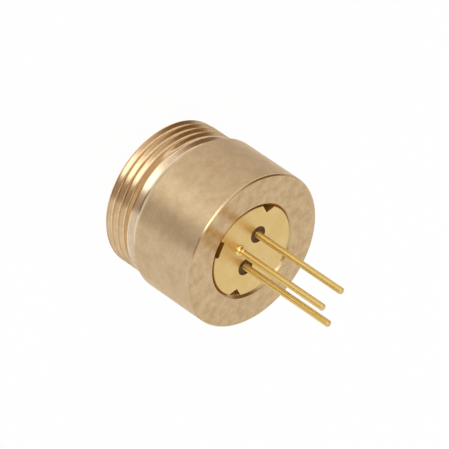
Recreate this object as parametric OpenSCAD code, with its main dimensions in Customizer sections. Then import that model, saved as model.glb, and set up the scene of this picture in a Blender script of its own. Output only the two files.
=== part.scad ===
// Diode-pumped solid-state laser module in a turned brass housing.
// It stands on its threaded front face, with the beam leaving downwards
// through the filter and the three leads pointing up.
// Millimetres. The origin is the centre of the front face.

/* [Housing] */
// Diameter of the plain barrel
body_d = 9.5; // [9.2:0.1:12]
// Radial step from the barrel down to the thread
shoulder_w = 0.25; // [0.15:0.05:0.6]
// Length of the threaded front section with its undercut
front_len = 2.9; // [2.2:0.05:3.4]
// Width of the undercut between the thread and the shoulder
relief_w = 0.8; // [0.4:0.05:0.95]
// Depth of the undercut below the crest of the thread
relief_depth = 0.33; // [0.2:0.01:0.38]
// Chamfer at the start of the thread
front_chamfer = 0.13; // [0.05:0.01:0.3]
// Chamfer round the front edge of the barrel
shoulder_chamfer = 0.08; // [0.02:0.01:0.14]
// Chamfer round the rear edge of the barrel
rear_chamfer = 0.12; // [0.05:0.01:0.3]
// Lead-in chamfer at the mouth of the header bore
mouth_chamfer = 0.15; // [0.05:0.01:0.4]

/* [Diode header] */
// Diameter of the header disc
header_d = 5.6; // [5.2:0.05:6.4]
// Thickness of the header disc
header_t = 1.2; // [0.8:0.05:1.8]
// Depth of the header below the rear face of the housing
header_recess = 0.06; // [0.05:0.01:0.4]
// Radial gap between the header and its bore
header_clear = 0.02; // [0.01:0.01:0.1]
// Broken edge of the header disc
header_edge = 0.02; // [0.01:0.01:0.12]
// Width of the square index notch in the rim of the header
index_w = 1; // [0.6:0.05:1.4]
// Depth of the index notch
index_depth = 0.3; // [0.2:0.01:0.45]
// Depth of the two V notches in the sides of the rim
side_notch_depth = 0.43; // [0.2:0.01:0.45]
// Included angle of the two side notches
side_notch_angle = 105; // [60:5:110]

/* [Leads] */
// Diameter of each lead
lead_d = 0.4; // [0.35:0.01:0.5]
// Pitch circle of the leads
lead_pcd = 2; // [1.9:0.05:2.2]
// Free length of the leads behind the header
lead_len = 6.85; // [4:0.05:10]
// Broken edge at the tip of a lead
lead_tip_edge = 0.09; // [0.02:0.01:0.12]
// Width of the weld fillet round the case lead
weld_w = 0.12; // [0.05:0.01:0.15]
// Diameter of the glass seals
seal_d = 1.05; // [0.8:0.05:1.15]
// Depth of the glass below the rear face of the header
seal_recess = 0.08; // [0.02:0.01:0.15]
// Height of the monitor lead inside the cap
monitor_post_h = 0.5; // [0.4:0.05:0.6]

/* [Pump diode] */
// Height of the light-emitting facet in front of the header
emit_h = 1.27; // [1.2:0.01:1.5]
// Width of the laser chip
chip_w = 0.5; // [0.3:0.05:0.6]
// Thickness of the laser chip
chip_t = 0.12; // [0.08:0.01:0.2]
// Length of the laser chip along the beam
chip_len = 1; // [0.6:0.05:1.1]
// Width of the ceramic submount
submount_w = 0.8; // [0.65:0.05:1]
// Thickness of the ceramic submount
submount_t = 0.25; // [0.15:0.01:0.35]
// Length that the submount stands past the chip
submount_margin = 0.06; // [0.02:0.01:0.1]
// Width of the heat sink block
block_w = 1.08; // [1:0.02:1.1]
// Gap between the heat sink block and the cap
block_clear = 0.1; // [0.05:0.01:0.2]
// Side of the monitor photodiode
monitor_w = 0.8; // [0.5:0.05:0.9]
// Thickness of the monitor photodiode
monitor_t = 0.2; // [0.1:0.01:0.3]
// Gap between the photodiode and the plane of the chip
monitor_clear = 0.05; // [0.02:0.01:0.08]
// Diameter of the bond wires
wire_d = 0.05; // [0.03:0.005:0.06]
// Distance of the wire bonds on the chips from the middle plane
bond_x = 0.12; // [0.05:0.01:0.2]
// Distance of the bond on the laser chip behind its front facet
bond_setback = 0.25; // [0.15:0.01:0.35]

/* [Diode cap] */
// Outer diameter of the cap
cap_d = 3.55; // [3.45:0.05:3.8]
// Height of the cap in front of the header
cap_h = 2.3; // [2.2:0.05:3]
// Thickness of the cap's wall and end
cap_wall = 0.2; // [0.12:0.01:0.22]
// Radial width of the cap's weld flange
cap_rim_w = 0.3; // [0.2:0.05:0.4]
// Diameter of the light opening in the cap
cap_opening_d = 1.6; // [1.2:0.05:2]
// Thickness of the cap's window
window_t = 0.25; // [0.15:0.01:0.3]
// Width of the glass solder round the window
solder_w = 0.35; // [0.2:0.01:0.45]
// Thickness of the glass solder round the window
solder_t = 0.18; // [0.1:0.01:0.25]
// Radial gap between the cap's flange and the housing
cap_clear = 0.1; // [0.05:0.01:0.3]
// Gap between the cap and the crystal holder
cap_gap = 0.34; // [0.05:0.01:0.5]

/* [Crystals] */
// Side of both crystals across the beam
crystal_w = 1; // [0.8:0.05:1.5]
// Length of the neodymium vanadate crystal
vanadate_len = 0.5; // [0.3:0.05:1.5]
// Length of the frequency-doubling crystal
ktp_len = 1.5; // [1:0.05:3]
// Bond gap between the crystals and the walls of their channel
crystal_clear = 0.02; // [0.01:0.01:0.05]
// Thickness of the lip that stops the crystals
holder_lip = 0.2; // [0.1:0.01:0.4]
// Diameter of the opening in that lip
holder_opening_d = 0.8; // [0.4:0.05:0.95]
// Radial gap between the crystal holder and the housing
holder_clear = 0.02; // [0.01:0.01:0.05]

/* [Output filter] */
// Diameter of the infrared-blocking filter
filter_d = 3; // [2.4:0.1:4]
// Thickness of the filter
filter_t = 0.5; // [0.3:0.05:1]
// Depth of the filter below the front face
filter_recess = 0.4; // [0.1:0.05:1]
// Radial gap between the filter and its pocket
filter_clear = 0.03; // [0.01:0.01:0.1]
// Chamfer at the mouth of the filter pocket
pocket_chamfer = 0.1; // [0.03:0.01:0.2]
// Thickness of the land that the filter sits on
land_t = 0.4; // [0.2:0.05:1]
// Diameter of the beam opening in that land
exit_d = 1.8; // [1:0.1:2.2]

/* [Hidden] */
$fn = 64;
// Overshoot of a cut past the face that it opens
past = 0.1;

// Radii of the housing, from the barrel inwards
body_r = body_d / 2;
thread_r = body_r - shoulder_w;
relief_r = thread_r - relief_depth;
header_bore_r = header_d / 2 + header_clear;
cap_rim_r = cap_d / 2 + cap_rim_w;
cap_bore_r = cap_rim_r + cap_clear;
pocket_r = filter_d / 2 + filter_clear;

// The stack of pieces along the beam, from the front face to the rear
land_z = filter_recess + filter_t;
holder_z = land_z + land_t;
ktp_z = holder_z + holder_lip;
vanadate_z = ktp_z + ktp_len;
holder_rear_z = vanadate_z + vanadate_len;
cap_z = holder_rear_z + cap_gap;
header_z = cap_z + cap_h;
header_rear_z = header_z + header_t;
housing_len = header_rear_z + header_recess;

// Inside of the diode cap
cap_inner_r = cap_d / 2 - cap_wall;
window_z = cap_z + cap_wall;
window_r = cap_inner_r - solder_w;

// The pump chip lies with its middle on the beam axis
facet_z = header_z - emit_h;
chip_top_y = chip_t / 2;
submount_y = -chip_t / 2 - submount_t;
submount_len = chip_len + submount_margin;
monitor_y = chip_top_y + monitor_clear;

// Leads: two insulated ones on the X axis, the case lead towards -Y
lead_r = lead_d / 2;
lead_x = lead_pcd / 2;
lead_tip_z = header_rear_z + lead_len;
anode_post_h = emit_h - bond_setback;

// Bond wires: a flat ball on the post and an arch to the chip
wire_r = wire_d / 2;
ball_r = wire_d;
ball_h = wire_d;
arch_r = (lead_x - bond_x) / 2;

brass = [0.77, 0.64, 0.45];
gold = [0.86, 0.72, 0.44];
nickel = [0.72, 0.71, 0.68];
copper = [0.78, 0.5, 0.34];
seal_glass = [0.17, 0.11, 0.1];
clear_glass = [0.75, 0.85, 0.88, 0.5];

// A box across the beam, centred on x, from its low y and z faces
module slab(w, y0, depth, z0, h) {
    translate([-w / 2, y0, z0])
        cube([w, depth, h]);
}

// Housing: one turned piece, drawn as its half section
module housing() {
    color(brass)
        rotate_extrude()
            polygon([
                [pocket_r + pocket_chamfer, 0],
                [thread_r - front_chamfer, 0],
                [thread_r, front_chamfer],
                [thread_r, front_len - relief_w],
                [relief_r, front_len - relief_w + relief_depth],
                [relief_r, front_len],
                [body_r - shoulder_chamfer, front_len],
                [body_r, front_len + shoulder_chamfer],
                [body_r, housing_len - rear_chamfer],
                [body_r - rear_chamfer, housing_len],
                [header_bore_r + mouth_chamfer, housing_len],
                [header_bore_r, housing_len - mouth_chamfer],
                [header_bore_r, header_z],
                [cap_bore_r, header_z],
                [cap_bore_r, holder_z],
                [exit_d / 2, holder_z],
                [exit_d / 2, land_z],
                [pocket_r, land_z],
                [pocket_r, pocket_chamfer]
            ]);
}

// Infrared-blocking filter, bonded in the front pocket against the land
module output_filter() {
    color(clear_glass)
        translate([0, 0, filter_recess])
            cylinder(r = filter_d / 2, h = filter_t);
}

// Brass plug with a square channel for the crystals, stopped by a lip
module crystal_holder() {
    channel_w = crystal_w + 2 * crystal_clear;
    channel_len = vanadate_len + ktp_len;
    color(brass)
        difference() {
            translate([0, 0, holder_z])
                cylinder(r = cap_bore_r - holder_clear, h = holder_rear_z - holder_z);
            slab(channel_w, -channel_w / 2, channel_w, ktp_z, channel_len + past);
            translate([0, 0, holder_z - past])
                cylinder(d = holder_opening_d, h = holder_lip + 2 * past);
        }
}

// Frequency-doubling crystal, standing on the lip of the holder
module ktp_crystal() {
    color([0.85, 0.95, 0.85, 0.6])
        slab(crystal_w, -crystal_w / 2, crystal_w, ktp_z, ktp_len);
}

// Neodymium vanadate crystal, bonded to the back of the doubling crystal
module vanadate_crystal() {
    color([0.82, 0.74, 0.9, 0.6])
        slab(crystal_w, -crystal_w / 2, crystal_w, vanadate_z, vanadate_len);
}

// Diode cap: a drawn can with a weld flange on the header and a light opening
module diode_cap() {
    color(nickel)
        rotate_extrude()
            polygon([
                [cap_opening_d / 2, cap_z],
                [cap_d / 2, cap_z],
                [cap_d / 2, header_z - cap_wall],
                [cap_rim_r, header_z - cap_wall],
                [cap_rim_r, header_z],
                [cap_inner_r, header_z],
                [cap_inner_r, window_z],
                [cap_opening_d / 2, window_z]
            ]);
}

// Window behind the light opening of the cap
module cap_window() {
    color(clear_glass)
        translate([0, 0, window_z])
            cylinder(r = window_r, h = window_t);
}

// Ring of glass solder that seals the window into the cap
module window_solder_ring() {
    color(seal_glass)
        translate([0, 0, window_z])
            difference() {
                cylinder(r = cap_inner_r, h = solder_t);
                translate([0, 0, -past])
                    cylinder(r = window_r, h = solder_t + 2 * past);
            }
}

// Plan of one V notch in the rim of the header
module side_notch_plan() {
    reach = side_notch_depth + past;
    half_mouth = reach * tan(side_notch_angle / 2);
    translate([header_d / 2 - side_notch_depth, 0])
        polygon([[0, 0], [reach, -half_mouth], [reach, half_mouth]]);
}

// Plan of everything cut through the header disc
module header_cut_plan() {
    for (side = [0, 180])
        rotate(side) {
            side_notch_plan();
            translate([lead_x, 0])
                circle(d = seal_d);
        }
    translate([-index_w / 2, -header_d / 2 - past])
        square([index_w, index_depth + past]);
}

// Header: a stamped disc with its rim notches and the two seal holes
module diode_header() {
    header_r = header_d / 2;
    color(gold)
        difference() {
            rotate_extrude()
                polygon([
                    [0, header_z],
                    [header_r - header_edge, header_z],
                    [header_r, header_z + header_edge],
                    [header_r, header_rear_z - header_edge],
                    [header_r - header_edge, header_rear_z],
                    [0, header_rear_z]
                ]);
            translate([0, 0, header_z - past])
                linear_extrude(header_t + 2 * past)
                    header_cut_plan();
        }
}

// Heat sink block: a D-shaped post brazed to the front of the header
module heat_sink_block() {
    color(copper)
        intersection() {
            translate([0, 0, facet_z])
                cylinder(r = cap_inner_r - block_clear, h = emit_h);
            slab(block_w, -cap_inner_r, cap_inner_r + submount_y, facet_z, emit_h);
        }
}

// Ceramic submount soldered to the face of the heat sink block
module pump_submount() {
    color([0.9, 0.88, 0.82])
        slab(submount_w, submount_y, submount_t, facet_z, submount_len);
}

// Pump laser chip, with its front facet level with the block
module pump_chip() {
    color([0.35, 0.34, 0.36])
        slab(chip_w, -chip_t / 2, chip_t, facet_z, chip_len);
}

// Monitor photodiode on the header beside the rear facet of the chip
module monitor_photodiode() {
    color([0.22, 0.24, 0.32])
        slab(monitor_w, monitor_y, monitor_w, header_z - monitor_t, monitor_t);
}

// Glass bead that holds and insulates one lead; side is -1 or 1
module lead_seal(side) {
    color(seal_glass)
        translate([side * lead_x, 0, header_z])
            difference() {
                cylinder(d = seal_d, h = header_t - seal_recess);
                translate([0, 0, -past])
                    cylinder(d = lead_d, h = header_t + 2 * past);
            }
}

module anode_seal() {
    lead_seal(-1);
}

module monitor_seal() {
    lead_seal(1);
}

// Straight round lead between two heights, with broken edges at both ends
module round_lead(z0, z1) {
    color(gold)
        rotate_extrude()
            polygon([
                [0, z0],
                [lead_r - lead_tip_edge, z0],
                [lead_r, z0 + lead_tip_edge],
                [lead_r, z1 - lead_tip_edge],
                [lead_r - lead_tip_edge, z1],
                [0, z1]
            ]);
}

module anode_lead() {
    translate([-lead_x, 0, 0])
        round_lead(header_z - anode_post_h, lead_tip_z);
}

module monitor_lead() {
    translate([lead_x, 0, 0])
        round_lead(header_z - monitor_post_h, lead_tip_z);
}

// Case lead, butt welded to the header with a small fillet
module case_lead() {
    color(gold)
        translate([0, -lead_x, 0])
            rotate_extrude()
                polygon([
                    [0, header_rear_z],
                    [lead_r + weld_w, header_rear_z],
                    [lead_r, header_rear_z + weld_w],
                    [lead_r, lead_tip_z - lead_tip_edge],
                    [lead_r - lead_tip_edge, lead_tip_z],
                    [0, lead_tip_z]
                ]);
}

// Arched wire in a plane across y: a ball on a post at z0, the arch in front
// of it, and a leg of leg_len down to the chip; side is the post's side
module bond_wire(side, y, z0, leg_len) {
    arch_z = z0 - ball_h;
    color(gold)
        translate([0, y, 0]) {
            translate([side * lead_x, 0, arch_z])
                cylinder(r = ball_r, h = ball_h);
            translate([side * (lead_x + bond_x) / 2, 0, arch_z])
                rotate([-90, 0, 0])
                    rotate_extrude(angle = 180)
                        translate([arch_r, 0])
                            circle(d = wire_d);
            translate([side * bond_x, 0, arch_z])
                cylinder(d = wire_d, h = leg_len + ball_h);
        }
}

// Wire from the anode post to the top of the pump chip, where its leg lies flat
module chip_bond_wire() {
    bond_len = bond_setback;
    bond_wire(-1, chip_top_y + wire_r, header_z - anode_post_h, bond_len);
}

// Wire from the monitor post down to the front of the photodiode
module monitor_bond_wire() {
    leg_len = monitor_post_h - monitor_t;
    bond_wire(1, monitor_y + wire_d, header_z - monitor_post_h, leg_len);
}

housing();
output_filter();
crystal_holder();
ktp_crystal();
vanadate_crystal();
diode_cap();
cap_window();
window_solder_ring();
diode_header();
heat_sink_block();
pump_submount();
pump_chip();
monitor_photodiode();
anode_seal();
monitor_seal();
anode_lead();
monitor_lead();
case_lead();
chip_bond_wire();
monitor_bond_wire();
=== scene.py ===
"""Looks of the diode-pumped laser module: turned brass housing, gold header and leads, studio set."""
import math

import bpy
from mathutils import Matrix, Vector


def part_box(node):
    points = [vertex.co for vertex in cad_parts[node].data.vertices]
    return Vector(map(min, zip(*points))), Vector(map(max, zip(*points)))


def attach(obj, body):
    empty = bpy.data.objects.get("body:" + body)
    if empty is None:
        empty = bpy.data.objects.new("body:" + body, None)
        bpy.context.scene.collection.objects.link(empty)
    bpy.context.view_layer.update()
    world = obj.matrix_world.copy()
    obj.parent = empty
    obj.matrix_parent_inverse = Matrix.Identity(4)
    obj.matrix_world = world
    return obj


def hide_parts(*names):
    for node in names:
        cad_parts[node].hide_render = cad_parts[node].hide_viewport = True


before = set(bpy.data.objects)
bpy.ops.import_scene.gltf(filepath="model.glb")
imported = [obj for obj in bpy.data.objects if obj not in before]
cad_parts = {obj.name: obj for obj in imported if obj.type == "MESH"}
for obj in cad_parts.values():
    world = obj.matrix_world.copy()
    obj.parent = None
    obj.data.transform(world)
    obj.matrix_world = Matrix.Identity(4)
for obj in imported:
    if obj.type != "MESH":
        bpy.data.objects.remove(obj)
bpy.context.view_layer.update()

MM = 0.001
TURN = 2 * math.pi

# Sizes of the housing in millimetres, measured from the front face
BODY_R = 4.75
FRONT_LEN = 2.9
HOUSING_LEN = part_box("housing")[1][2] / MM
FRONT_CHAMFER = 0.13
SHOULDER_CHAMFER = 0.05
REAR_CHAMFER = 0.09
MOUTH_CHAMFER = 0.15
HEADER_BORE_R = 2.82
CAP_BORE_R = 2.175
EXIT_R = 0.9
POCKET_R = 1.53
POCKET_CHAMFER = 0.1
LAND_Z = 0.9
HOLDER_Z = 1.3
EDGE_ROUND = 0.03
HOUSING_SEGMENTS = 320

# The undercut behind the thread: it starts a little nearer the front than in the solid, and its cone ends
# above the bottom by a share of the bend
RELIEF_R = 4.17
RELIEF_W = 0.8
RELIEF_EARLY = 0.1
RELIEF_BEND = 0.12
RELIEF_BEND_SHARE = 0.7
CONE_STEPS = 10
BEND_STEPS = 12
# Distances from the shoulder of the undercut's last row and of the row that follows it
RELIEF_HOLD = 0.03
SHOULDER_HOLD = 0.02

# The thread: its flanks are eased over a share of their width, and its last turn fades over an angle and
# runs out at another, counted from the photograph's camera
THREAD_R = 4.5
THREAD_PITCH = 0.5
THREAD_DEPTH = 0.215
THREAD_CREST_Z = 0.69
THREAD_CREST_HALF = 0.012
THREAD_FLANK = 0.19
THREAD_EASE = 0.3
THREAD_LAST_CREST = 2
THREAD_RUN_OUT = math.radians(-14)
THREAD_FADE = 0.35
THREAD_END = FRONT_LEN - RELIEF_W - RELIEF_EARLY
RELIEF_DEPTH = THREAD_R - RELIEF_R
PITCH_ROWS = 40
# Rows inside this radius carry no thread, and from this height on thread and undercut blend
UNTHREADED_R = RELIEF_R - 0.1
BLEND_Z = THREAD_END - 0.3
BLEND_SOFT = 0.08

# Sizes of the header, and of the lip that closes the groove round it, in depths below the mouth's chamfer
HEADER_R = 2.8
HEADER_Z, HEADER_REAR_Z = (corner[2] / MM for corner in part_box("diode_header"))
LIP_GAP = 0.003
LIP_TOP = 0.01
LIP_FOOT = 0.05
LIP_END = 0.07

# The glass seals, whose rear face climbs the rim of its hole and the lead
SEAL_R = 0.525
SEAL_RECESS = 0.08
SEAL_DIP = 0.02
RIM_CLIMB = 0.06
RIM_CLIMB_RATE = 6
LEAD_CLIMB = 0.05
LEAD_CLIMB_RATE = 8
SEAL_STEPS = 14
SEAL_SEGMENTS = 64

# The leads
LEAD_R = 0.2
LEAD_X = 1.0
LEAD_TIP_ROUND = 0.08
LEAD_FOOT_ROUND = 0.06
LEAD_FOOT_LEN = 0.1
LEAD_SEGMENTS = 48

# The case lead's weld bead: a flat dome cut off at an angle in degrees, with a small collar above it
WELD_R = 0.33
WELD_H = 0.22
WELD_CUT = 52
COLLAR_Z = 0.19
COLLAR_H = 0.2
COLLAR_OUT = 0.04
WELD_END = 0.4
WELD_STEPS = 10

# The photograph's camera
CAMERA_AZIMUTH = math.radians(248.5)
CAMERA_ELEVATION = math.radians(36.6)
AXIS_SLOPE = math.radians(34.3)
CAMERA_DISTANCE = 330.8
CLIP_NEAR = 0.01
CLIP_FAR = 10
FOCAL_PX = 6000
IMAGE_PX = 449
SENSOR_MM = 36
AIM_RIGHT = 1.544
AIM_DOWN = 1.472

# Values that the materials share: where a noise has its range, and how deep its bumps are in millimetres
NOISE_LOW = 0.3
NOISE_HIGH = 0.7
MOTTLE_STOPS = (0.3, 0.5, 0.72)
STREAK_STOPS = (0.3, 0.5, 0.7)
BUMP_MM = 0.01
WHITE = (1, 1, 1)
SHARP_ANGLE = math.radians(40)


def new_material(name):
    """A material with a bare shader on its output, as (material, tree, shader)."""
    material = bpy.data.materials.new(name)
    material.use_nodes = True
    tree = material.node_tree
    tree.nodes.clear()
    output = tree.nodes.new("ShaderNodeOutputMaterial")
    shader = tree.nodes.new("ShaderNodeBsdfPrincipled")
    tree.links.new(shader.outputs["BSDF"], output.inputs["Surface"])
    return material, tree, shader


def millimetre_coords(tree, scale=(1, 1, 1)):
    """Object coordinates in millimetres, stretched by scale."""
    coords = tree.nodes.new("ShaderNodeTexCoord")
    mapping = tree.nodes.new("ShaderNodeMapping")
    mapping.inputs["Scale"].default_value = [s / MM for s in scale]
    tree.links.new(coords.outputs["Object"], mapping.inputs["Vector"])
    return mapping.outputs["Vector"]


def noise(tree, vector, scale, detail, roughness):
    """A noise from 0 to 1, most of it between NOISE_LOW and NOISE_HIGH."""
    node = tree.nodes.new("ShaderNodeTexNoise")
    node.inputs["Scale"].default_value = scale
    node.inputs["Detail"].default_value = detail
    node.inputs["Roughness"].default_value = roughness
    tree.links.new(vector, node.inputs["Vector"])
    return node.outputs["Fac"]


def ramp(tree, fac, stops):
    """A colour ramp; stops are (position, colour)."""
    node = tree.nodes.new("ShaderNodeValToRGB")
    elements = node.color_ramp.elements
    while len(elements) < len(stops):
        elements.new(0.5)
    for element, (position, colour) in zip(elements, stops):
        element.position = position
        element.color = (*colour, 1)
    tree.links.new(fac, node.inputs["Fac"])
    return node.outputs["Color"]


def spread(tree, fac, low, high):
    """A value from low to high over the range of a noise."""
    node = tree.nodes.new("ShaderNodeMapRange")
    node.inputs["From Min"].default_value = NOISE_LOW
    node.inputs["From Max"].default_value = NOISE_HIGH
    node.inputs["To Min"].default_value = low
    node.inputs["To Max"].default_value = high
    tree.links.new(fac, node.inputs["Value"])
    return node.outputs["Result"]


def mix_colours(tree, fac, first, second, blend="MIX"):
    """Two colours mixed or blended; the node's colour sockets are found by number, as their names repeat."""
    node = tree.nodes.new("ShaderNodeMix")
    node.data_type = "RGBA"
    node.blend_type = blend
    if isinstance(fac, float):
        node.inputs["Factor"].default_value = fac
    else:
        tree.links.new(fac, node.inputs["Factor"])
    for socket, colour in ((node.inputs[6], first), (node.inputs[7], second)):
        if isinstance(colour, tuple):
            socket.default_value = (*colour, 1)
        else:
            tree.links.new(colour, socket)
    return node.outputs[2]


def math_node(tree, operation, first, second=None):
    """The result of an operation on one or two numbers or sockets."""
    node = tree.nodes.new("ShaderNodeMath")
    node.operation = operation
    for socket, value in zip(node.inputs, (first, second)):
        if isinstance(value, (int, float)):
            socket.default_value = value
        elif value is not None:
            tree.links.new(value, socket)
    return node.outputs["Value"]


def smooth_step(tree, value, low, high):
    """A soft step from 0 to 1 as a value passes from low to high."""
    node = tree.nodes.new("ShaderNodeMapRange")
    node.interpolation_type = "SMOOTHSTEP"
    node.inputs["From Min"].default_value = low
    node.inputs["From Max"].default_value = high
    tree.links.new(value, node.inputs["Value"])
    return node.outputs["Result"]


def bump(tree, shader, height, strength):
    """Fine bumps on a shader's surface."""
    node = tree.nodes.new("ShaderNodeBump")
    node.inputs["Strength"].default_value = strength
    node.inputs["Distance"].default_value = BUMP_MM * MM
    tree.links.new(height, node.inputs["Height"])
    tree.links.new(node.outputs["Normal"], shader.inputs["Normal"])


def darkened(tree, colour, fac, dark):
    """A colour multiplied by a tone that goes from dark to white over the range of a noise."""
    tone = ramp(tree, fac, [(NOISE_LOW, dark), (NOISE_HIGH, WHITE)])
    return mix_colours(tree, 1.0, colour, tone, "MULTIPLY")


def radial_tone(tree, colour, low, high, tone):
    """Paints shade: multiplies a colour by tone where the distance from the axis passes from low to high."""
    coords = tree.nodes.new("ShaderNodeTexCoord")
    flat = tree.nodes.new("ShaderNodeVectorMath")
    flat.operation = "MULTIPLY"
    flat.inputs[1].default_value = (1 / MM, 1 / MM, 0)
    tree.links.new(coords.outputs["Object"], flat.inputs[0])
    length = tree.nodes.new("ShaderNodeVectorMath")
    length.operation = "LENGTH"
    tree.links.new(flat.outputs["Vector"], length.inputs[0])
    fac = smooth_step(tree, length.outputs["Value"], low, high)
    return mix_colours(tree, 1.0, colour, ramp(tree, fac, [(0, WHITE), (1, tone)]), "MULTIPLY")


def worked_round(tree, shader, anisotropy):
    """Stretches the highlights of a shader as on metal that was worked round the axis."""
    shader.inputs["Anisotropic"].default_value = anisotropy
    shader.inputs["Anisotropic Rotation"].default_value = 0.25
    tangent = tree.nodes.new("ShaderNodeTangent")
    tangent.direction_type = "RADIAL"
    tangent.axis = "Z"
    tree.links.new(tangent.outputs["Tangent"], shader.inputs["Tangent"])


def turned_brass(name, colours, rough, lines, mottle, anisotropy, line_bump, painted_shade=None):
    """Lathe-turned brass: fine lines round the axis over a soft mottle; painted_shade gives a radial_tone of
    painted shade.
    """
    material, tree, shader = new_material(name)
    shader.inputs["Metallic"].default_value = 1
    worked_round(tree, shader, anisotropy)
    streak = noise(tree, millimetre_coords(tree, (0.5, 0.5, lines)), scale=1, detail=3, roughness=0.7)
    blotch = noise(tree, millimetre_coords(tree), scale=mottle, detail=5, roughness=0.6)
    grain = noise(tree, millimetre_coords(tree), scale=7, detail=2, roughness=0.6)
    shade = ramp(tree, blotch, list(zip(MOTTLE_STOPS, colours)))
    lined = darkened(tree, shade, streak, (0.9, 0.89, 0.87))
    colour = darkened(tree, lined, grain, (0.92, 0.91, 0.89))
    tree.links.new(radial_tone(tree, colour, *painted_shade) if painted_shade else colour, shader.inputs["Base Color"])
    tree.links.new(spread(tree, streak, *rough), shader.inputs["Roughness"])
    bump(tree, shader, streak, line_bump)
    return material


def grained_metal(name, colours, rough, grain, mottle, grain_bump, metallic=1.0, painted_shade=None):
    """Metal with a fine even grain over a soft mottle, all of it less metallic when metallic is below 1;
    painted_shade gives a radial_tone of painted shade.
    """
    material, tree, shader = new_material(name)
    shader.inputs["Metallic"].default_value = metallic
    fine = noise(tree, millimetre_coords(tree), scale=grain, detail=3, roughness=0.6)
    blotch = noise(tree, millimetre_coords(tree), scale=mottle, detail=4, roughness=0.6)
    shade = ramp(tree, blotch, list(zip(MOTTLE_STOPS, colours)))
    colour = darkened(tree, shade, fine, (0.88, 0.87, 0.85))
    tree.links.new(radial_tone(tree, colour, *painted_shade) if painted_shade else colour, shader.inputs["Base Color"])
    tree.links.new(spread(tree, fine, *rough), shader.inputs["Roughness"])
    bump(tree, shader, fine, grain_bump)
    return material


def drawn_gold(name, colours, rough):
    """Gold-plated wire, bright along the line that faces the light, with faint long streaks."""
    material, tree, shader = new_material(name)
    shader.inputs["Metallic"].default_value = 1
    worked_round(tree, shader, 1)
    streak = noise(tree, millimetre_coords(tree, (5, 5, 0.6)), scale=1, detail=3, roughness=0.5)
    tree.links.new(ramp(tree, streak, list(zip(STREAK_STOPS, colours))), shader.inputs["Base Color"])
    tree.links.new(spread(tree, streak, *rough), shader.inputs["Roughness"])
    return material


def grained_solid(name, colours, rough, grain, grain_bump, transmission=0.0, ior=1.5, specular=0.5):
    """Glass, crystal or ceramic with a faint cloud in its colour."""
    material, tree, shader = new_material(name)
    shader.inputs["IOR"].default_value = ior
    shader.inputs["Transmission Weight"].default_value = transmission
    shader.inputs["Specular IOR Level"].default_value = specular
    cloud = noise(tree, millimetre_coords(tree), scale=grain, detail=4, roughness=0.6)
    stops = [(NOISE_LOW, colours[0]), (NOISE_HIGH, colours[1])]
    tree.links.new(ramp(tree, cloud, stops), shader.inputs["Base Color"])
    tree.links.new(spread(tree, cloud, *rough), shader.inputs["Roughness"])
    bump(tree, shader, cloud, grain_bump)
    return material


# Painted shade: tones that darken a finish between two distances from the axis
# Painted shade: the bottom of the undercut is darker, as shade in the recess
RELIEF_PAINTED_SHADE = (RELIEF_R + 0.1, RELIEF_R + 0.01, (0.86, 0.83, 0.79))
# Painted shade: the thread's crests are darker, standing in for the shaded dark lines along the thread
CREST_PAINTED_SHADE = (THREAD_R - 0.07, THREAD_R - 0.015, (0.8, 0.65, 0.46))
# Painted shade: the header's rim is darker, as shade in the gap between header and bore
RIM_PAINTED_SHADE = (HEADER_R - 0.06, HEADER_R - 0.015, (0.76, 0.61, 0.42))

# Finishes of the housing
BRASS_BARREL = turned_brass(
    "brass_barrel", [(0.66, 0.476, 0.276), (0.723, 0.538, 0.323), (0.788, 0.6, 0.375)],
    rough=(0.4, 0.46), lines=18, mottle=1.6, anisotropy=1.0, line_bump=0.06)
BRASS_THREAD = turned_brass(
    "brass_thread", [(0.66, 0.475, 0.28), (0.71, 0.525, 0.325), (0.75, 0.57, 0.37)],
    rough=(0.19, 0.26), lines=24, mottle=1.6, anisotropy=0.6, line_bump=0.04, painted_shade=CREST_PAINTED_SHADE)
BRASS_RELIEF = turned_brass(
    "brass_relief", [(0.71, 0.57, 0.4), (0.76, 0.62, 0.45), (0.8, 0.67, 0.51)],
    rough=(0.18, 0.25), lines=8, mottle=1.5, anisotropy=0.5, line_bump=0.04, painted_shade=RELIEF_PAINTED_SHADE)
BRASS_EDGE = grained_metal(
    "brass_edge", [(0.59, 0.43, 0.25), (0.63, 0.47, 0.285), (0.67, 0.51, 0.32)],
    rough=(0.16, 0.24), grain=10, mottle=1.2, grain_bump=0.03)
BRASS_MOUTH = grained_metal(
    "brass_mouth", [(0.57, 0.41, 0.22), (0.61, 0.45, 0.25), (0.65, 0.49, 0.28)],
    rough=(0.14, 0.22), grain=10, mottle=1.2, grain_bump=0.03)
BRASS_FACE = turned_brass(
    "brass_face", [(0.555, 0.378, 0.197), (0.642, 0.459, 0.26), (0.73, 0.54, 0.325)],
    rough=(0.22, 0.3), lines=1, mottle=1.9, anisotropy=0.7, line_bump=0.015)
# Partly painted light: the bore has its own brass tone, raised lighter and made partly diffuse so that the
# shade in the cavity reads lighter
BRASS_BORE = grained_metal(
    "brass_bore", [(0.84, 0.51, 0.14), (0.89, 0.56, 0.17), (0.93, 0.61, 0.21)],
    rough=(0.3, 0.4), grain=12, mottle=1.5, grain_bump=0.1, metallic=0.35)

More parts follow.
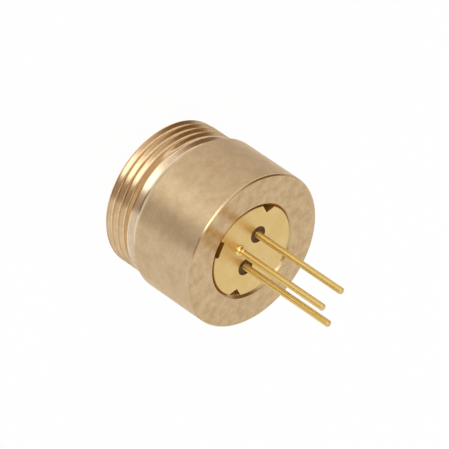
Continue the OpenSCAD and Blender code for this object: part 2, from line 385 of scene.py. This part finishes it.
# Finishes of the header, its leads and the metal inside
GOLD_HEADER = grained_metal(
    "gold_header", [(0.75, 0.53, 0.21), (0.79, 0.57, 0.24), (0.83, 0.61, 0.28)],
    rough=(0.32, 0.4), grain=16, mottle=1.0, grain_bump=0.05, painted_shade=RIM_PAINTED_SHADE)
GOLD_LEAD = drawn_gold(
    "gold_lead", [(0.78, 0.545, 0.167), (0.82, 0.585, 0.192), (0.855, 0.625, 0.228)],
    rough=(0.38, 0.44))
GOLD_WELD = grained_metal(
    "gold_weld", [(0.82, 0.6, 0.22), (0.86, 0.64, 0.26), (0.9, 0.68, 0.31)],
    rough=(0.27, 0.33), grain=10, mottle=1.3, grain_bump=0.02)
GOLD_TIP = grained_metal(
    "gold_tip", [(0.7, 0.51, 0.2), (0.74, 0.55, 0.24), (0.78, 0.59, 0.28)],
    rough=(0.36, 0.44), grain=10, mottle=1.3, grain_bump=0.02)
GOLD_WIRE = grained_metal(
    "gold_wire", [(0.8, 0.56, 0.2), (0.85, 0.61, 0.24), (0.89, 0.66, 0.29)],
    rough=(0.15, 0.22), grain=30, mottle=4, grain_bump=0.03)
NICKEL_CAP = grained_metal(
    "nickel_cap", [(0.6, 0.58, 0.53), (0.65, 0.63, 0.59), (0.7, 0.68, 0.64)],
    rough=(0.22, 0.32), grain=18, mottle=1.5, grain_bump=0.06)
COPPER_SINK = grained_metal(
    "copper_sink", [(0.72, 0.46, 0.26), (0.77, 0.51, 0.3), (0.81, 0.56, 0.35)],
    rough=(0.25, 0.35), grain=18, mottle=2, grain_bump=0.06)

# Semiconductors, ceramic, glass and crystals
CHIP = grained_solid(
    "chip", [(0.05, 0.048, 0.055), (0.075, 0.07, 0.08)],
    rough=(0.15, 0.25), grain=8, grain_bump=0.02, ior=3.2)
SILICON = grained_solid(
    "silicon", [(0.025, 0.03, 0.06), (0.04, 0.045, 0.09)],
    rough=(0.12, 0.2), grain=8, grain_bump=0.02, ior=3.0)
CERAMIC = grained_solid(
    "ceramic", [(0.72, 0.7, 0.64), (0.8, 0.78, 0.72)],
    rough=(0.45, 0.6), grain=30, grain_bump=0.1)
SEAL_GLASS = grained_solid(
    "seal_glass", [(0.1, 0.05, 0.013), (0.132, 0.069, 0.021)],
    rough=(0.35, 0.45), grain=6, grain_bump=0.1, specular=0.06)
SOLDER_GLASS = grained_solid(
    "solder_glass", [(0.03, 0.024, 0.02), (0.05, 0.04, 0.034)],
    rough=(0.2, 0.3), grain=8, grain_bump=0.1)
WINDOW_GLASS = grained_solid(
    "window_glass", [(0.9, 0.95, 0.95), (0.95, 0.98, 0.98)],
    rough=(0.01, 0.03), grain=2, grain_bump=0.01, transmission=1.0)
FILTER_GLASS = grained_solid(
    "filter_glass", [(0.55, 0.8, 0.82), (0.6, 0.84, 0.86)],
    rough=(0.01, 0.03), grain=2, grain_bump=0.01, transmission=1.0)
KTP = grained_solid(
    "ktp", [(0.93, 0.97, 0.93), (0.97, 0.99, 0.97)],
    rough=(0.01, 0.03), grain=3, grain_bump=0.01, transmission=1.0, ior=1.8)
VANADATE = grained_solid(
    "vanadate", [(0.78, 0.66, 0.9), (0.82, 0.72, 0.93)],
    rough=(0.01, 0.03), grain=3, grain_bump=0.01, transmission=1.0, ior=2.0)


def add_mesh(name, verts, faces, materials, face_materials):
    """A smooth-shaded mesh object from points in millimetres."""
    mesh = bpy.data.meshes.new(name)
    mesh.from_pydata([Vector(v) * MM for v in verts], [], faces)
    for material in materials:
        mesh.materials.append(material)
    mesh.polygons.foreach_set("material_index", face_materials)
    mesh.polygons.foreach_set("use_smooth", [True] * len(mesh.polygons))
    mesh.set_sharp_from_angle(angle=SHARP_ANGLE)
    mesh.update()
    obj = bpy.data.objects.new(name, mesh)
    bpy.context.collection.objects.link(obj)
    return obj


def curve_point(start, corner, end, share):
    """The point at a share of the way along a curve that rounds off a corner."""
    return (1 - share) ** 2 * start + 2 * share * (1 - share) * corner + share * share * end


def rounded(points, radius, steps=4, hold=0.25, reach=0.4):
    """A polyline with its inner corners rounded, and held flat beside each corner.

    points are (r, z, material); the result's rows carry the material of the stretch that follows them.
    No corner takes more than a share, reach, of the stretches beside it.
    """
    rows = [points[0]]
    for (r0, z0, _), (r1, z1, material_out), (r2, z2, _) in zip(points, points[1:], points[2:]):
        before, here, after = Vector((r0, z0)), Vector((r1, z1)), Vector((r2, z2))
        size = min(radius, reach * (here - before).length, reach * (after - here).length)
        into, out = (here - before).normalized(), (after - here).normalized()
        start, end = here - size * into, here + size * out
        rows.append((*(start - hold * size * into), rows[-1][2]))
        for step in range(steps + 1):
            rows.append((*curve_point(start, here, end, step / steps), material_out))
        rows.append((*(end + hold * size * out), material_out))
    rows.append(points[-1])
    return rows


def lathe(name, rows, materials, segments, radius_at=None, closed=False, place=(0, 0)):
    """A body turned from rows of (r, z, material); radius_at may cut a row's radius by its angle.

    A row with no radius is a single point on the axis.
    """
    verts, faces, face_materials, rings = [], [], [], []
    for r, z, _ in rows:
        count = segments if r else 1
        rings.append([len(verts) + s for s in range(count)])
        for s in range(count):
            angle = TURN * s / segments
            radius = radius_at(r, z, angle) if radius_at else r
            verts.append((place[0] + radius * math.cos(angle), place[1] + radius * math.sin(angle), z))
    for band in range(len(rows) if closed else len(rows) - 1):
        low, high = rings[band], rings[(band + 1) % len(rows)]
        for s in range(segments):
            t = (s + 1) % segments
            corners = [low[s % len(low)], low[t % len(low)], high[t % len(high)], high[s % len(high)]]
            faces.append(tuple(dict.fromkeys(corners)))
            face_materials.append(rows[band][2])
    return add_mesh(name, verts, faces, materials, face_materials)


def thread_groove(z, angle):
    """Depth of the thread below its crest: a right-handed helix with narrow flats, eased into its flanks.

    Where its last turn has run out, a plain land is left before the undercut.
    """
    around = (angle - CAMERA_AZIMUTH - THREAD_RUN_OUT) % TURN
    turns = (z - THREAD_CREST_Z) / THREAD_PITCH - (around + THREAD_RUN_OUT) / TURN
    if turns > THREAD_LAST_CREST:
        return 0
    full = THREAD_DEPTH
    if turns > THREAD_LAST_CREST - 1:
        full *= min(1, (TURN - around) / THREAD_FADE)
    from_crest = THREAD_PITCH * abs(turns - round(turns))
    fall = (from_crest - THREAD_CREST_HALF) / THREAD_FLANK
    if fall > 0.5:
        short = max(0, 1 + THREAD_EASE - fall)
        return full * (fall if fall < 1 - THREAD_EASE else 1 - short * short / (4 * THREAD_EASE))
    past = max(0, fall + THREAD_EASE)
    return full * (fall if fall > THREAD_EASE else past * past / (4 * THREAD_EASE))


def threaded_radius(r, z, angle):
    """Radius of the housing's skin, with the thread cut into it and blended into the undercut."""
    if r < UNTHREADED_R or z > THREAD_END + RELIEF_DEPTH:
        return r
    thread = THREAD_R - thread_groove(z, angle)
    if z < BLEND_Z:
        return min(r, thread)
    cone = r + max(0, THREAD_END - z)
    share = min(1, max(0, 0.5 + 0.5 * (cone - thread) / BLEND_SOFT))
    return cone + (thread - cone) * share - BLEND_SOFT * share * (1 - share)


# The housing's materials, by their place in its list
SKIN_BARREL, SKIN_THREAD, SKIN_RELIEF, SKIN_EDGE, SKIN_MOUTH, SKIN_FACE, SKIN_BORE = range(7)


def relief_rows():
    """The undercut behind the thread: a cone that runs out in a round bottom, up to the shoulder."""
    drop = RELIEF_DEPTH - RELIEF_BEND_SHARE * RELIEF_BEND
    cone_end = (THREAD_R - drop, THREAD_END + drop)
    corner = (RELIEF_R, THREAD_END + RELIEF_DEPTH)
    flat = (RELIEF_R, THREAD_END + RELIEF_DEPTH + RELIEF_BEND)
    rows = []
    for step in range(CONE_STEPS):
        fall = drop * step / CONE_STEPS
        rows.append((THREAD_R - fall, THREAD_END + fall, SKIN_RELIEF))
    for step in range(BEND_STEPS + 1):
        share = step / BEND_STEPS
        r, z = (curve_point(a, b, c, share) for a, b, c in zip(cone_end, corner, flat))
        rows.append((r, z, SKIN_RELIEF))
    return rows + [(RELIEF_R, FRONT_LEN - RELIEF_HOLD, SKIN_RELIEF)]


def make_housing():
    """The turned housing with its thread, as one closed skin."""
    rear = HOUSING_LEN
    mouth_z = rear - MOUTH_CHAMFER
    lip_r = HEADER_R + LIP_GAP
    front = rounded([
        (POCKET_R, LAND_Z, SKIN_BORE),
        (POCKET_R, POCKET_CHAMFER, SKIN_BORE),
        (POCKET_R + POCKET_CHAMFER, 0, SKIN_FACE),
        (THREAD_R - FRONT_CHAMFER, 0, SKIN_THREAD),
        (THREAD_R, FRONT_CHAMFER, SKIN_THREAD),
    ], EDGE_ROUND)
    thread_len = THREAD_END - FRONT_CHAMFER
    count = round(thread_len / THREAD_PITCH * PITCH_ROWS)
    thread = [(THREAD_R, FRONT_CHAMFER + thread_len * i / count, SKIN_THREAD) for i in range(1, count)]
    back = rounded([
        (RELIEF_R, FRONT_LEN - SHOULDER_HOLD, SKIN_RELIEF),
        (RELIEF_R, FRONT_LEN, SKIN_RELIEF),
        (BODY_R - SHOULDER_CHAMFER, FRONT_LEN, SKIN_BARREL),
        (BODY_R, FRONT_LEN + SHOULDER_CHAMFER, SKIN_BARREL),
        (BODY_R, rear - REAR_CHAMFER, SKIN_EDGE),
        (BODY_R - REAR_CHAMFER, rear, SKIN_FACE),
        (HEADER_BORE_R + MOUTH_CHAMFER, rear, SKIN_MOUTH),
        (HEADER_BORE_R, mouth_z, SKIN_MOUTH),
        (lip_r, mouth_z - LIP_TOP, SKIN_BORE),
        (lip_r, mouth_z - LIP_FOOT, SKIN_BORE),
        (HEADER_BORE_R, mouth_z - LIP_END, SKIN_BORE),
        (HEADER_BORE_R, HEADER_Z, SKIN_BORE),
        (CAP_BORE_R, HEADER_Z, SKIN_BORE),
        (CAP_BORE_R, HOLDER_Z, SKIN_BORE),
        (EXIT_R, HOLDER_Z, SKIN_BORE),
        (EXIT_R, LAND_Z, SKIN_BORE),
    ], EDGE_ROUND)
    materials = [BRASS_BARREL, BRASS_THREAD, BRASS_RELIEF, BRASS_EDGE, BRASS_MOUTH, BRASS_FACE, BRASS_BORE]
    rows = front + thread + relief_rows() + back
    housing = lathe("housing_turned", rows, materials, HOUSING_SEGMENTS, threaded_radius, closed=True)
    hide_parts("housing")
    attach(housing, "root")


# The materials of a lead, by their place in its list
WIRE_PLAIN, WIRE_WELD, WIRE_TIP = range(3)


def rounded_tip(radius, z, round_off, material, steps=6):
    """Rows that close a round bar at z with a rounded edge."""
    rows = []
    for step in range(steps + 1):
        angle = math.pi / 2 * step / steps
        rows.append((radius - round_off + round_off * math.cos(angle),
                     z - round_off + round_off * math.sin(angle), material))
    return rows + [(0, z, material)]


def make_lead(name, place, foot):
    """One gold lead with a rounded tip, on the rows of its own foot."""
    tip_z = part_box(name)[1][2] / MM
    tip = rounded_tip(LEAD_R, tip_z, LEAD_TIP_ROUND, WIRE_TIP)
    rows = foot + [(LEAD_R, tip_z - 2 * LEAD_TIP_ROUND, WIRE_PLAIN)] + tip
    lead = lathe(name + "_wire", rows, [GOLD_LEAD, GOLD_WELD, GOLD_TIP], LEAD_SEGMENTS, place=place)
    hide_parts(name)
    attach(lead, "root")


def weld_bead():
    """Points (r, z) of the case lead's weld, from the axis up to the end of the collar."""
    bead = [(0, 0)]
    for step in range(WELD_STEPS + 1):
        angle = math.radians(WELD_CUT * step / WELD_STEPS)
        bead.append((WELD_R * math.cos(angle), WELD_H * math.sin(angle)))
    for step in range(1, WELD_STEPS):
        swell = COLLAR_OUT * math.sin(math.pi * step / WELD_STEPS) ** 2
        bead.append((LEAD_R + swell, COLLAR_Z + COLLAR_H * step / WELD_STEPS))
    return bead


def make_leads():
    """Two leads that pass through the header, and the case lead on its weld bead."""
    for name, side in (("anode_lead", -1), ("monitor_lead", 1)):
        low_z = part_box(name)[0][2] / MM
        end = rounded_tip(LEAD_R, low_z, LEAD_FOOT_ROUND, WIRE_PLAIN)
        foot = [(r, 2 * low_z - z, material) for r, z, material in reversed(end)]
        make_lead(name, (side * LEAD_X, 0), foot + [(LEAD_R, low_z + LEAD_FOOT_LEN, WIRE_PLAIN)])
    foot = [(r, HEADER_REAR_Z + z, WIRE_WELD) for r, z in weld_bead()]
    make_lead("case_lead", (0, -LEAD_X), foot + [(LEAD_R, HEADER_REAR_Z + WELD_END, WIRE_PLAIN)])


def make_seals():
    """Glass beads whose rear face climbs the lead and the rim of its hole."""
    for name, side in (("anode_seal", -1), ("monitor_seal", 1)):
        rows = [(LEAD_R, HEADER_Z, 0), (SEAL_R, HEADER_Z, 0)]
        for step in range(SEAL_STEPS + 1):
            t = step / SEAL_STEPS
            r = SEAL_R + (LEAD_R - SEAL_R) * t
            at_rim = RIM_CLIMB * math.exp(-RIM_CLIMB_RATE * t)
            at_lead = LEAD_CLIMB * math.exp(-LEAD_CLIMB_RATE * (1 - t))
            rows.append((r, HEADER_REAR_Z - SEAL_RECESS - SEAL_DIP + (at_rim + at_lead), 0))
        place = (side * LEAD_X, 0)
        seal = lathe(name + "_glass", rows, [SEAL_GLASS], SEAL_SEGMENTS, closed=True, place=place)
        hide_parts(name)
        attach(seal, "root")


NODE_MATERIALS = {
    "output_filter": FILTER_GLASS,
    "crystal_holder": BRASS_BORE,
    "ktp_crystal": KTP,
    "vanadate_crystal": VANADATE,
    "diode_cap": NICKEL_CAP,
    "cap_window": WINDOW_GLASS,
    "window_solder_ring": SOLDER_GLASS,
    "diode_header": GOLD_HEADER,
    "heat_sink_block": COPPER_SINK,
    "pump_submount": CERAMIC,
    "pump_chip": CHIP,
    "monitor_photodiode": SILICON,
    "chip_bond_wire": GOLD_WIRE,
    "monitor_bond_wire": GOLD_WIRE,
}


def dress_nodes():
    """Gives each node that keeps its CAD mesh its own finish."""
    for name, material in NODE_MATERIALS.items():
        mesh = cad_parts[name].data
        mesh.materials.clear()
        mesh.materials.append(material)


def make_camera():
    """The photograph's viewpoint: a long lens, rolled so that the leads point down to the right."""
    level = math.cos(CAMERA_ELEVATION)
    back = Vector((math.cos(CAMERA_AZIMUTH) * level, math.sin(CAMERA_AZIMUTH) * level,
                   math.sin(CAMERA_ELEVATION)))
    side = (-back).cross(Vector((0, 0, 1))).normalized()
    over = side.cross(-back)
    right = math.cos(AXIS_SLOPE) * over - math.sin(AXIS_SLOPE) * side
    up = -math.sin(AXIS_SLOPE) * over - math.cos(AXIS_SLOPE) * side
    rear_centre = Vector((0, 0, HOUSING_LEN))
    place = rear_centre - AIM_RIGHT * right + AIM_DOWN * up + CAMERA_DISTANCE * back
    data = bpy.data.cameras.new("camera")
    data.sensor_width = SENSOR_MM
    data.lens = FOCAL_PX / IMAGE_PX * SENSOR_MM
    data.clip_start = CLIP_NEAR
    data.clip_end = CLIP_FAR
    camera = bpy.data.objects.new("camera", data)
    turn = Matrix((right, up, back)).transposed().to_4x4()
    camera.matrix_world = Matrix.Translation(place * MM) @ turn
    bpy.context.collection.objects.link(camera)
    bpy.context.scene.camera = camera


# Panels of the studio, as (angle, radiance, warmth): a face of the module that is turned to the angle, in
# degrees anticlockwise from the photograph's camera, mirrors that panel. The warm ones are of brown card.
# Upright faces show WALLS, faces tilted up by about 30 degrees SLOPES, the chamfers and the undercut's cone
# EDGES, and the flanks of the thread CANOPY.
WALLS = [
    (-180, 0.9, 0), (-110, 1.4, 0), (-82, 1.6, 0), (-66, 1.6, 0.08), (-42, 1.8, 0.12), (-34, 1.7, 0.14),
    (-24, 1.6, 0.1), (-12, 1.6, 0), (2, 1.4, 0), (7, 0.32, 0.5), (24.5, 0.2, 0.5), (26.5, 1.6, 0),
    (40, 1.6, 0), (110, 1.6, 0), (180, 0.9, 0),
]
SLOPES = [
    (-180, 0.85, 0), (-100, 1.4, 0), (-74, 1.3, 0), (-62, 1.1, 0.2), (-42, 1.5, 0.25), (-36, 1.3, 0.2),
    (-20, 1.3, 0.1), (-13, 1.5, 0), (-8, 1.6, 0), (3, 1.5, 0), (7, 0.38, 0.6), (24, 0.2, 0.6),
    (26.5, 1.3, 0), (70, 1.3, 0), (110, 1.1, 0), (180, 0.85, 0),
]
EDGES = [
    (-180, 0.8, 0), (-112, 0.85, 0), (-102, 0.55, 0.3), (-84, 0.55, 0.3), (-75, 0.75, 0.15),
    (-66, 0.3, 0.8), (-58, 0.25, 0.95), (-45, 0.25, 0.95), (-39, 0.42, 0.65), (-32, 0.85, 0.3),
    (-22, 1.15, 0.2), (-14, 1.5, 0.05), (-8, 2.4, 0), (4.5, 2.8, 0), (8, 1.2, 0.15), (10.5, 0.55, 0.5),
    (23, 0.5, 0.5), (26.5, 0.9, 0.06), (50, 0.92, 0.04), (70, 0.9, 0.04), (84, 0.7, 0.15),
    (104, 0.7, 0.15), (120, 0.85, 0), (180, 0.8, 0),
]
CANOPY = [
    (-180, 0.8, 0), (-100, 1, 0), (-76, 0.95, 0), (-66, 0.18, 0.85), (-44, 0.18, 0.85), (-37, 0.3, 0.8),
    (-30, 0.3, 0.8), (-22, 0.31, 0.8), (-16, 0.5, 0.55), (-11, 1.4, 0.1), (-8, 2.4, 0), (3.5, 2.8, 0),
    (7.5, 0.46, 0.55), (23.5, 0.42, 0.55), (26.5, 0.98, 0.06), (50, 1.08, 0), (70, 1.08, 0),
    (110, 0.9, 0), (180, 0.8, 0),
]
# Tilts in degrees between which each ring of panels gives way to the next, and the last to the backdrop
RING_LIMITS = [(24, 29), (33, 38), (47, 50), (66, 74)]
WARM = (1, 0.57, 0.24)
PANEL_MAX = 2.8
BACKDROP = 0.95
# Heights on the unit sphere between which the white horizon gives way to the panels
HORIZON_LOW = 0.01
HORIZON_HIGH = 0.06

FLOOR_Z = -0.005
FLOOR_OPEN_R = 4
FLOOR_R = 2000
FLOOR_SEGMENTS = 64
FLOOR_LIFT = 0.96


def panel_colour(level, warmth):
    """A panel's colour as a share of the brightest panel."""
    return tuple(level / PANEL_MAX * (1 - warmth + warmth * share) for share in WARM)


def make_studio():
    """World light: a white horizon, panels round the sides and overhead, and an even backdrop.

    A panel is found by the direction halfway between the light's own and that of the photograph's camera.
    """
    world = bpy.data.worlds.new("studio")
    world.use_nodes = True
    tree = world.node_tree
    coords = tree.nodes.new("ShaderNodeTexCoord")
    turn = tree.nodes.new("ShaderNodeMapping")
    turn.inputs["Rotation"].default_value = (0, 0, -CAMERA_AZIMUTH)
    tree.links.new(coords.outputs["Generated"], turn.inputs["Vector"])
    lean = tree.nodes.new("ShaderNodeVectorMath")
    lean.inputs[1].default_value = (math.cos(CAMERA_ELEVATION), 0, math.sin(CAMERA_ELEVATION))
    tree.links.new(turn.outputs["Vector"], lean.inputs[0])
    parts = tree.nodes.new("ShaderNodeSeparateXYZ")
    tree.links.new(lean.outputs["Vector"], parts.inputs["Vector"])
    x, y, z = parts.outputs
    around = math_node(tree, "ARCTAN2", y, x)
    squares = math_node(tree, "ADD", math_node(tree, "MULTIPLY", x, x), math_node(tree, "MULTIPLY", y, y))
    tilt = math_node(tree, "ARCTAN2", z, math_node(tree, "SQRT", squares))
    fac = math_node(tree, "ADD", math_node(tree, "DIVIDE", around, TURN), 0.5)
    rings = []
    for panels in (WALLS, SLOPES, EDGES, CANOPY):
        stops = [(0.5 + angle / 360, panel_colour(level, warmth)) for angle, level, warmth in panels]
        rings.append(ramp(tree, fac, stops))
    light = rings[0]
    for (low, high), ring in zip(RING_LIMITS, rings[1:] + [panel_colour(BACKDROP, 0)]):
        past = smooth_step(tree, tilt, math.radians(low), math.radians(high))
        light = mix_colours(tree, past, light, ring)
    own = tree.nodes.new("ShaderNodeSeparateXYZ")
    tree.links.new(coords.outputs["Generated"], own.inputs["Vector"])
    above = smooth_step(tree, own.outputs["Z"], HORIZON_LOW, HORIZON_HIGH)
    light = mix_colours(tree, above, panel_colour(1, 0), light)
    tree.links.new(light, tree.nodes["Background"].inputs["Color"])
    tree.nodes["Background"].inputs["Strength"].default_value = PANEL_MAX
    bpy.context.scene.world = world


def make_floor():
    """Pale floor that reads as white and keeps a faint shadow, open where the front face covers it."""
    material, tree, shader = new_material("floor")
    shader.inputs["Roughness"].default_value = 0.9
    cloud = noise(tree, millimetre_coords(tree), scale=0.02, detail=2, roughness=0.5)
    stops = [(NOISE_LOW, (0.9, 0.9, 0.9)), (NOISE_HIGH, (0.92, 0.92, 0.92))]
    tree.links.new(ramp(tree, cloud, stops), shader.inputs["Base Color"])
    path = tree.nodes.new("ShaderNodeLightPath")
    direct = math_node(tree, "ADD", path.outputs["Is Camera Ray"], path.outputs["Is Glossy Ray"])
    seen = math_node(tree, "ADD", direct, path.outputs["Is Transmission Ray"])
    lift = math_node(tree, "MULTIPLY", math_node(tree, "MINIMUM", seen, 1), FLOOR_LIFT)
    white = tree.nodes.new("ShaderNodeEmission")
    mixer = tree.nodes.new("ShaderNodeMixShader")
    tree.links.new(lift, mixer.inputs["Fac"])
    tree.links.new(shader.outputs["BSDF"], mixer.inputs[1])
    tree.links.new(white.outputs["Emission"], mixer.inputs[2])
    tree.links.new(mixer.outputs["Shader"], tree.nodes["Material Output"].inputs["Surface"])
    rows = [(FLOOR_OPEN_R, FLOOR_Z, 0), (FLOOR_R, FLOOR_Z, 0)]
    lathe("floor", rows, [material], FLOOR_SEGMENTS)


make_camera()
make_housing()
make_leads()
make_seals()
dress_nodes()
make_studio()
make_floor()
bpy.context.scene.view_settings.view_transform = "Standard"
